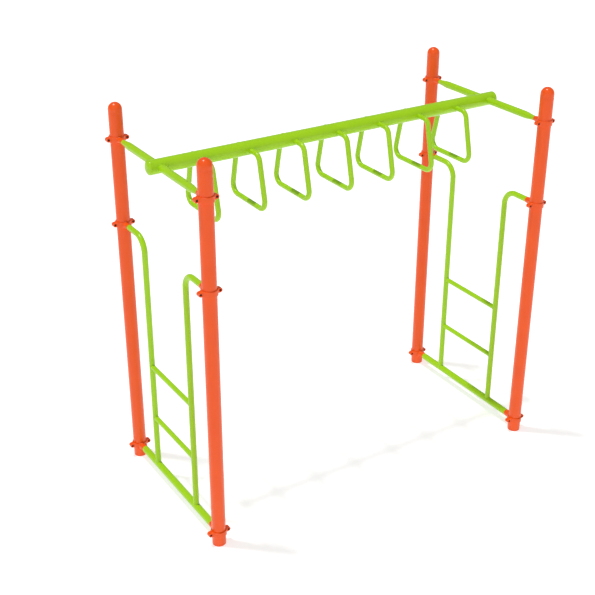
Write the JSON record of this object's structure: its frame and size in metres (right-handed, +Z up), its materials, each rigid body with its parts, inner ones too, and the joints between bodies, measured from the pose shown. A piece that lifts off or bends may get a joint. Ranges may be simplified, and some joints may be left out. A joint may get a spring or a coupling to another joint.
{
  "type": "monkey bars",
  "caption": "Free-standing playground monkey bars: domed posts carry one overhead beam with hanging loop rungs, and a clamped tubular ladder frame joins the posts at each end.",
  "frame": {"origin": "on the ground, midway between the four posts and under the overhead beam", "axes": "+Z up; +X along the overhead beam; +Y across it, from the front posts to the rear posts"},
  "size_m": [2.6246, 1.2714, 2.577],
  "materials": {
    "orange_powder_coat": "glossy powder coat",
    "green_powder_coat": "glossy powder coat"
  },
  "bodies": {
    "root": {"post_front_left": "orange_powder_coat", "post_cap_front_left": "orange_powder_coat", "beam_clamp_inner_front_left": "orange_powder_coat", "beam_clamp_outer_front_left": "orange_powder_coat", "ladder_clamp_inner_front_left": "orange_powder_coat", "ladder_clamp_outer_front_left": "orange_powder_coat", "rail_clamp_inner_front_left": "orange_powder_coat", "rail_clamp_outer_front_left": "orange_powder_coat", "beam_arm_front_left": "green_powder_coat", "ladder_upright_front_left": "green_powder_coat", "post_rear_left": "orange_powder_coat", "post_cap_rear_left": "orange_powder_coat", "beam_clamp_inner_rear_left": "orange_powder_coat", "beam_clamp_outer_rear_left": "orange_powder_coat", "ladder_clamp_inner_rear_left": "orange_powder_coat", "ladder_clamp_outer_rear_left": "orange_powder_coat", "rail_clamp_inner_rear_left": "orange_powder_coat", "rail_clamp_outer_rear_left": "orange_powder_coat", "beam_arm_rear_left": "green_powder_coat", "ladder_upright_rear_left": "green_powder_coat", "ground_rail_left": "green_powder_coat", "ladder_rung_lower_left": "green_powder_coat", "ladder_rung_upper_left": "green_powder_coat", "post_front_right": "orange_powder_coat", "post_cap_front_right": "orange_powder_coat", "beam_clamp_inner_front_right": "orange_powder_coat", "beam_clamp_outer_front_right": "orange_powder_coat", "ladder_clamp_inner_front_right": "orange_powder_coat", "ladder_clamp_outer_front_right": "orange_powder_coat", "rail_clamp_inner_front_right": "orange_powder_coat", "rail_clamp_outer_front_right": "orange_powder_coat", "beam_arm_front_right": "green_powder_coat", "ladder_upright_front_right": "green_powder_coat", "post_rear_right": "orange_powder_coat", "post_cap_rear_right": "orange_powder_coat", "beam_clamp_inner_rear_right": "orange_powder_coat", "beam_clamp_outer_rear_right": "orange_powder_coat", "ladder_clamp_inner_rear_right": "orange_powder_coat", "ladder_clamp_outer_rear_right": "orange_powder_coat", "rail_clamp_inner_rear_right": "orange_powder_coat", "rail_clamp_outer_rear_right": "orange_powder_coat", "beam_arm_rear_right": "green_powder_coat", "ladder_upright_rear_right": "green_powder_coat", "ground_rail_right": "green_powder_coat", "ladder_rung_lower_right": "green_powder_coat", "ladder_rung_upper_right": "green_powder_coat", "overhead_beam": "green_powder_coat", "beam_cap_right": "green_powder_coat", "beam_cap_left": "green_powder_coat", "loop_rung_1": "green_powder_coat", "loop_rung_2": "green_powder_coat", "loop_rung_3": "green_powder_coat", "loop_rung_4": "green_powder_coat", "loop_rung_5": "green_powder_coat", "loop_rung_6": "green_powder_coat", "loop_rung_7": "green_powder_coat"}
  },
  "joints": []
}
